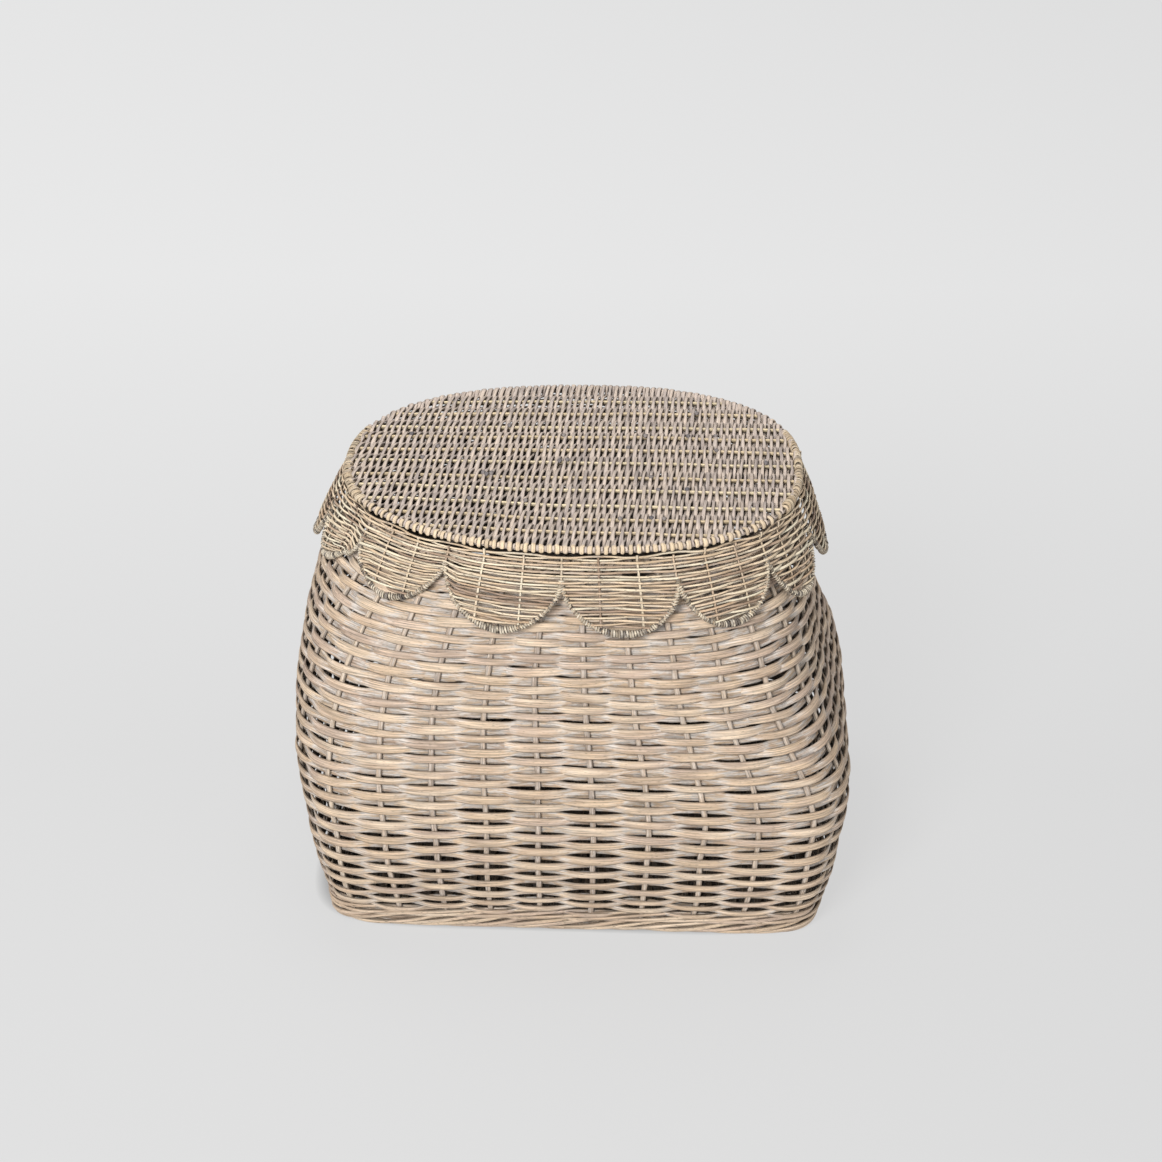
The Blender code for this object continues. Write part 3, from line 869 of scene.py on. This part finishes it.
def make_lid_hoop(core_material, lashing_material):
    """Hoop inside the weavers' bent ends, lashed only at the sides, where none bends over it."""
    rng = np.random.default_rng(18)
    core = Strands()
    add_hoop_core(core, rng, (LID_RING, LID_RING_DEPTH, BEND_HEIGHT - 0.0004), 0.001)
    finish(core, "lid_hoop_rods", core_material, "lid", "lashing_willow", "lid_hoop")
    lashing = Strands(squareness=2.8)
    oval = (LID_RING, LID_RING_DEPTH, BEND_HEIGHT)
    for side in (0.25, 0.75):
        middles = side - 0.06 + 0.0027 * np.arange(45) + rng.uniform(-0.0009, 0.0009, 45)
        add_lashing(lashing, rng, middles, oval, BEND_RADIUS, 0.0025)
    add_lashing(lashing, rng, LID_KNOTS, oval, BEND_RADIUS + 0.001, 0.0044)
    finish(lashing, "lid_hoop_lashing", lashing_material, "lid", "lashing_willow", "lid_hoop")


# -------- skirt
def valley_fractions():
    """Where the notches between the scallops lie; the front ones are a little off."""
    fractions = np.arange(SCALLOP_COUNT + 1) / SCALLOP_COUNT
    for valley, shift in VALLEY_SHIFTS.items():
        fractions[valley] += shift
    fractions[SCALLOP_COUNT] = 1.0 + fractions[0]
    return fractions


VALLEYS = valley_fractions()


def scallop_fraction(scallops):
    """Fraction round the lid at a place counted in scallops from the front notch."""
    turns = np.floor(scallops / SCALLOP_COUNT)
    within = scallops - turns * SCALLOP_COUNT
    return turns + np.interp(within, np.arange(SCALLOP_COUNT + 1), VALLEYS)


def scallop_drop(scallops):
    """Depth of the skirt's lower edge below its top."""
    lobe = abs(np.sin(math.pi * scallops)) ** SCALLOP_FULLNESS
    return VALLEY_DROP + (SCALLOP_DROP - VALLEY_DROP) * lobe


def skirt_points(scallops, drops):
    """Points on the flared skirt, as deep below its top as the drops say.

    It is shorter at the left, where it also stands out further.
    """
    half_depth = SKIRT_HALF_WIDTH * DEPTH_TO_WIDTH
    fractions = scallop_fraction(scallops)
    turns = turns_at(fractions, SKIRT_HALF_WIDTH, half_depth, MOUTH_SQUARENESS)
    flat = superellipse(SKIRT_HALF_WIDTH, half_depth, MOUTH_SQUARENESS, turns)
    rightness = np.sin(math.tau * fractions)
    drops = np.asarray(drops) * lookup(SKIRT_LENGTHS, fractions % 1.0)
    s = np.maximum(drops, 0.0) / SKIRT_FLARE_DROP
    flare = SKIRT_FLARE * (1 - 0.13 * rightness) * s * (1.35 - 0.35 * s)
    scale = (SKIRT_HALF_WIDTH + flare - SKIRT_INSET) / SKIRT_HALF_WIDTH
    return xyz(*(flat.T * scale), SKIRT_TOP - drops)


def skirt_outward(scallops, drops):
    """Unit normals of the skirt; a drop goes down, so its step is negative."""
    return surface_normals(skirt_points, scallops, drops, 0.011, -0.001)


def add_skirt_strand(strands, rng, row, scallops, drop, closed=False):
    """A fine strand of the skirt, outside every second skirt stake."""
    fractions = scallops / SCALLOP_COUNT
    drops = drop + closed_noise(rng, SKIRT_STAKE_COUNT, fractions, 0.0005)
    drops = drops + closed_noise(rng, 9, fractions, 0.0003)
    outward = skirt_outward(scallops, drops)
    swing = weave_swing(math.pi * (scallops * STAKES_PER_SCALLOP + row))
    reach = SKIRT_STAKE_RADIUS + SKIRT_STRAND_RADIUS * 0.85
    path = skirt_points(scallops, drops) + outward * (reach * swing)[:, None]
    around = scallop_fraction(scallops)
    shorter = lookup(SKIRT_LENGTHS, around % 1.0)
    at_side = smooth(1.6 * abs(np.sin(math.tau * around)) - 0.6)
    size = (SKIRT_STRAND_RADIUS * rng.uniform(0.78, 1.15) * np.minimum(shorter * 1.1, 1.0)
            * (1 + 0.2 * at_side))
    strands.add(path, outward, size * 1.05, size * 0.85, rng.random(),
                wash=smooth(0.3 - 0.5 * swing), closed=closed)


def skirt_row_drops():
    """Drops of the rows; the flare makes them a little closer in height than along the skirt."""
    lean = math.hypot(1.0, SKIRT_FLARE / SKIRT_FLARE_DROP)
    spacing = SKIRT_ROW_PITCH / lean
    count = int((SCALLOP_DROP - 0.001) / spacing)
    return [spacing * row - 0.0022 for row in range(count)]


def make_skirt(material):
    """Rows all round above the valleys, and shorter rows inside each scallop below them."""
    rng = np.random.default_rng(19)
    drops = skirt_row_drops()
    whole = [row for row, drop in enumerate(drops) if drop < VALLEY_DROP - 0.002]
    upper = Strands()
    steps = SKIRT_STAKE_COUNT * 8
    for row in whole:
        add_skirt_strand(upper, rng, row, np.arange(steps) / steps * SCALLOP_COUNT, drops[row],
                         closed=True)
    finish(upper, "skirt_upper_rows", material, "lid", "skirt_willow", "skirt_weave")
    lower = Strands()
    for scallop in range(SCALLOP_COUNT):
        for row in range(len(whole), len(drops)):
            lobe = (drops[row] - VALLEY_DROP + 0.0012) / (SCALLOP_DROP - VALLEY_DROP)
            start = math.asin(np.clip(lobe, 0, 1) ** (1 / SCALLOP_FULLNESS)) / math.pi
            if 1 - 2 * start < 0.08:
                continue
            places = np.linspace(start, 1 - start, max(int(26 * (1 - 2 * start)), 6))
            add_skirt_strand(lower, rng, row, scallop + places, drops[row])
    finish(lower, "skirt_scallop_rows", material, "lid", "skirt_willow", "skirt_weave")


def make_skirt_stakes(material):
    """Thin uprights of the skirt; their tops come up over the lid's rim."""
    rng = np.random.default_rng(20)
    strands = Strands()
    for i in range(SKIRT_STAKE_COUNT):
        scallop = i / STAKES_PER_SCALLOP
        drops = np.linspace(-rng.uniform(0.001, 0.006), scallop_drop(scallop), 30)
        scallops = np.full(30, scallop + rng.uniform(-0.012, 0.012))
        outward = skirt_outward(scallops, drops)
        radius = SKIRT_STAKE_RADIUS * rng.uniform(0.9, 1.15)
        proud = 0.0028 * smooth(-drops / 0.002 + 0.5)
        strands.add(skirt_points(scallops, drops) + outward * proud[:, None], outward, radius,
                    radius, rng.random(), wash=0.5)
    finish(strands, "skirt_stakes", material, "lid", "skirt_willow", "skirt_weave")


def make_scallop_edge(core_material, binding_material):
    """A thin rod round each scallop, bound with a fine strand wound closely along it."""
    rng = np.random.default_rng(21)
    rods = Strands()
    binding = Strands(sides=6)
    for scallop in range(SCALLOP_COUNT):
        places = np.linspace(0, 1, 60)
        drops = scallop_drop(np.clip(places, 1e-6, 1 - 1e-6))
        path = skirt_points(scallop + places, drops)
        outward = skirt_outward(scallop + places, drops)
        rods.add(path, outward, SCALLOP_ROD_RADIUS, SCALLOP_ROD_RADIUS, rng.random(), 0.5)
        add_binding(binding, rng, path, outward, places)
    finish(rods, "scallop_edge_rods", core_material, "lid", "lashing_willow", "scallop_edge")
    finish(binding, "scallop_edge_binding", binding_material, "lid", "lashing_willow", "scallop_edge")


def add_binding(strands, rng, path, outward, places):
    """Helix of a fine strand round a rod, fuller and paler at the bottom of the scallop."""
    steps_per_turn = 10
    lengths = lengths_along(path)
    turns = int(lengths[-1] / BINDING_PITCH)
    along = np.linspace(0, lengths[-1], turns * steps_per_turn)
    centre, normal = (np.column_stack([np.interp(along, lengths, column) for column in rows.T])
                      for rows in (path, outward))
    normal = unit(normal)
    side = unit(np.cross(np.gradient(centre, axis=0), normal))
    place_here = np.interp(along, lengths, places)
    low = np.sin(math.pi * place_here) ** 8
    angle = math.tau * along / BINDING_PITCH + open_noise(rng, 60, place_here, 0.9)
    reach = (SCALLOP_ROD_RADIUS + BINDING_RADIUS * 0.5 + 0.0011 * low
             + open_noise(rng, 40, place_here, 0.0004))
    spoke = normal * np.cos(angle)[:, None] + side * np.sin(angle)[:, None]
    tint = 0.5 + open_noise(rng, 70, place_here, 0.5)
    strands.add(centre + spoke * reach[:, None], spoke, BINDING_RADIUS * (1.05 + 0.3 * low),
                BINDING_RADIUS, tint, wash=0.1 + 0.15 * low)


# -------- studio
LOOKED_AT = Vector((0.0, 0.0, 0.2))  # middle of the basket, for the camera and the lights
AIM_UP = 0.0525  # how far past it the camera's middle ray passes
AIM_RIGHT = 0.0076


def make_floor():
    bpy.ops.mesh.primitive_plane_add(size=40.0)
    floor = bpy.context.object
    floor.name = "studio_floor"
    floor.data.materials.append(floor_material())


def make_camera():
    """Camera of a product photo: 30 degrees above the basket, a little to its right."""
    elevation = math.radians(30.2)
    azimuth = math.radians(2.4)
    roll = math.radians(0.2)
    distance = 2.6
    backward = Vector((math.sin(azimuth) * math.cos(elevation),
                       -math.cos(azimuth) * math.cos(elevation), math.sin(elevation)))
    right = Vector((math.cos(azimuth), math.sin(azimuth), 0.0))
    place_at = LOOKED_AT + backward * distance
    aim = LOOKED_AT + backward.cross(right) * AIM_UP + right * AIM_RIGHT
    look = (aim - place_at).normalized()
    data = bpy.data.cameras.new("photo_camera")
    data.lens = 87.4
    data.sensor_width = 36.0
    data.clip_end = 100.0
    camera = add_object("photo_camera", data)
    turn = look.to_track_quat("-Z", "Y").to_matrix().to_4x4()
    camera.matrix_world = Matrix.Translation(place_at) @ turn @ Matrix.Rotation(roll, 4, "Z")
    bpy.context.scene.camera = camera


def add_softbox(name, place_at, size, power):
    data = bpy.data.lights.new(name, "AREA")
    data.shape = "SQUARE"
    data.size = size
    data.energy = power
    light = add_object(name, data)
    light.location = place_at
    light.rotation_euler = (LOOKED_AT - light.location).to_track_quat("-Z", "Y").to_euler()


def make_lights():
    add_softbox("key_softbox", (-1.1, -3.0, 2.4), 1.4, 120.0)
    add_softbox("fill_softbox", (2.4, -2.0, 1.5), 2.0, 17.0)
    add_softbox("top_softbox", (-0.2, 0.9, 2.8), 1.6, 29.0)
    world = bpy.data.worlds.new("studio_world")
    world.use_nodes = True
    background = world.node_tree.nodes["Background"]
    background.inputs["Color"].default_value = (0.74, 0.75, 0.77, 1.0)
    background.inputs["Strength"].default_value = 0.36
    bpy.context.scene.world = world
    bpy.context.scene.view_settings.view_transform = "Standard"


# -------- assembly
def make_basket():
    body = willow_material("body_weaver_willow", BODY_TONES, wash_share=0.62, grime_share=0.5,
                           streak=0.6, drift=0.2)
    stake = willow_material("pale_stake_willow", STAKE_TONES, wash_share=0.6, streak=0.55)
    foot = willow_material("foot_weaver_willow", BODY_TONES, grime_share=0.75, streak=0.55,
                           edge_shade=0.66)
    lid = willow_material("grey_lid_willow", LID_TONES, wash_share=0.35, drift=0.12,
                          edge_shade=0.58)
    cut_end = willow_material("cut_end_willow", CUT_END_TONES, wash_share=0.2)
    rod = willow_material("straw_rod_willow", ROD_TONES, wash_share=0.2)
    lashing = willow_material("straw_lashing_willow", LASHING_TONES, wash_share=0.3)
    edge = willow_material("scallop_edge_willow", EDGE_TONES, grime_share=0.9, edge_shade=0.8)
    skirt = willow_material("fine_skirt_willow", SKIRT_TONES, wash_share=0.3, edge_shade=0.88,
                            streak=0.4, grime_share=0.85)
    make_wall_weave(body)
    make_wall_stakes(stake)
    make_foot(foot)
    make_base(body, stake)
    make_mouth_hoop(stake, body)
    make_lid_weave(lid)
    make_cut_ends(cut_end)
    make_lid_rods(rod)
    make_lid_hoop(lid, lashing)
    make_skirt(skirt)
    make_skirt_stakes(skirt)
    make_scallop_edge(skirt, edge)


make_basket()
make_floor()
make_camera()
make_lights()
bpy.context.view_layer.update()
